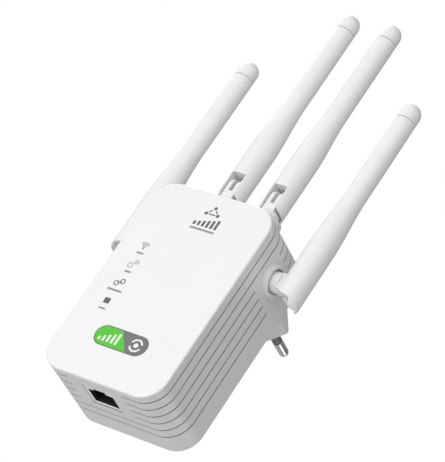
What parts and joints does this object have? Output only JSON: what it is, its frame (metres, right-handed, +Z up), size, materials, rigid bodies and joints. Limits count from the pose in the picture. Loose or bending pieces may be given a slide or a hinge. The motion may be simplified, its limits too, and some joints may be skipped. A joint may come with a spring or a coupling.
{
  "type": "wifi range extender",
  "caption": "Plug-in wifi range extender: slim white box with grooved sides, a network jack below, a round-pin plug block behind and folding antennas on top and sides.",
  "frame": {"origin": "centre of the plug block's flat end face, midway between the two round pins, in the wall plane", "axes": "+X to the viewer's right of the front, +Y towards the wall along the pins, +Z up along the body and the upright antennas"},
  "size_m": [0.0888, 0.077, 0.1931],
  "materials": {
    "front_plastic": "gloss white",
    "shell_plastic": "fine satin, pale grey-white",
    "arm_plastic": "satin white",
    "badge_print": "printed pill, green at the left and grey at the right",
    "button_plastic": "satin",
    "pin_nickel": "bright nickel plate",
    "sleeve_plastic": "black insulating sleeve",
    "black_plastic": "matt",
    "board_laminate": "solder-masked laminate",
    "ferrite": "sintered ferrite with a taped winding",
    "capacitor_sleeve": "shrunk sleeve",
    "shield_steel": "tinned sheet",
    "clip_steel": "bright",
    "screw_steel": "zinc plated",
    "jack_plastic": "moulded, pale",
    "contact_gold": "gold plated",
    "clear_plastic": "clear, frosted",
    "led_resin": "milky resin",
    "lead_sheath": "black sheath",
    "radiator_brass": "turned"
  },
  "bodies": {
    "case": {"front_cover": "front_plastic", "rear_shell": "shell_plastic", "front_badge": "badge_print", "left_plug_pin": "pin_nickel", "right_plug_pin": "pin_nickel", "left_pin_sleeve": "sleeve_plastic", "right_pin_sleeve": "sleeve_plastic", "left_mains_lead": "lead_sheath", "right_mains_lead": "lead_sheath", "pin_carrier": "black_plastic", "main_board": "board_laminate", "power_board": "board_laminate", "transformer": "ferrite", "bulk_capacitor": "capacitor_sleeve", "rf_shield": "shield_steel", "ethernet_jack": "jack_plastic", "jack_contacts": "contact_gold", "light_guide": "clear_plastic", "wifi_led": "led_resin", "system_led": "led_resin", "link_led": "led_resin", "lan_led": "led_resin", "wps_switch": "black_plastic", "case_screw_1": "screw_steel", "case_screw_2": "screw_steel", "case_screw_3": "screw_steel", "case_screw_4": "screw_steel", "left_coax_tail": "lead_sheath", "top_left_coax_tail": "lead_sheath", "top_right_coax_tail": "lead_sheath", "right_coax_tail": "lead_sheath"},
    "pairing_button": {"wps_button": "button_plastic"},
    "left_base": {"left_knuckle": "arm_plastic", "left_retaining_clip": "clip_steel"},
    "left_arm": {"left_antenna_arm": "arm_plastic", "left_antenna_cap": "arm_plastic", "left_pivot_pin": "clip_steel", "left_radiator": "radiator_brass"},
    "top_left_base": {"top_left_knuckle": "arm_plastic", "top_left_retaining_clip": "clip_steel"},
    "top_left_arm": {"top_left_antenna_arm": "arm_plastic", "top_left_antenna_cap": "arm_plastic", "top_left_pivot_pin": "clip_steel", "top_left_radiator": "radiator_brass"},
    "top_right_base": {"top_right_knuckle": "arm_plastic", "top_right_retaining_clip": "clip_steel"},
    "top_right_arm": {"top_right_antenna_arm": "arm_plastic", "top_right_antenna_cap": "arm_plastic", "top_right_pivot_pin": "clip_steel", "top_right_radiator": "radiator_brass"},
    "right_base": {"right_knuckle": "arm_plastic", "right_retaining_clip": "clip_steel"},
    "right_arm": {"right_antenna_arm": "arm_plastic", "right_antenna_cap": "arm_plastic", "right_pivot_pin": "clip_steel", "right_radiator": "radiator_brass"}
  },
  "joints": [
    {"name": "button_press", "type": "slide", "parent": "case", "child": "pairing_button", "axis": [1, 0, 0], "range_m": [0, 0.0006], "stiffness_N_per_m": 300},
    {"name": "left_swivel", "type": "hinge", "parent": "case", "child": "left_base", "pos_m": [-0.028, -0.0395, -0.0013], "axis": [1, 0, 0], "range_deg": [-90, 90]},
    {"name": "left_fold", "type": "hinge", "parent": "left_base", "child": "left_arm", "pos_m": [-0.039, -0.0395, -0.0013], "axis": [0, -1, 0], "range_deg": [0, 90]},
    {"name": "top_left_swivel", "type": "hinge", "parent": "case", "child": "top_left_base", "pos_m": [-0.01, -0.0395, 0.0208], "axis": [0, 0, -1], "range_deg": [-90, 90]},
    {"name": "top_left_fold", "type": "hinge", "parent": "top_left_base", "child": "top_left_arm", "pos_m": [-0.01, -0.0395, 0.0318], "axis": [1, 0, 0], "range_deg": [0, 90]},
    {"name": "top_right_swivel", "type": "hinge", "parent": "case", "child": "top_right_base", "pos_m": [0.01, -0.0395, 0.0208], "axis": [0, 0, 1], "range_deg": [-90, 90]},
    {"name": "top_right_fold", "type": "hinge", "parent": "top_right_base", "child": "top_right_arm", "pos_m": [0.01, -0.0395, 0.0318], "axis": [1, 0, 0], "range_deg": [0, 90]},
    {"name": "right_swivel", "type": "hinge", "parent": "case", "child": "right_base", "pos_m": [0.028, -0.0395, -0.0013], "axis": [1, 0, 0], "range_deg": [-90, 90]},
    {"name": "right_fold", "type": "hinge", "parent": "right_base", "child": "right_arm", "pos_m": [0.039, -0.0395, -0.0013], "axis": [0, 1, 0], "range_deg": [0, 90]}
  ]
}
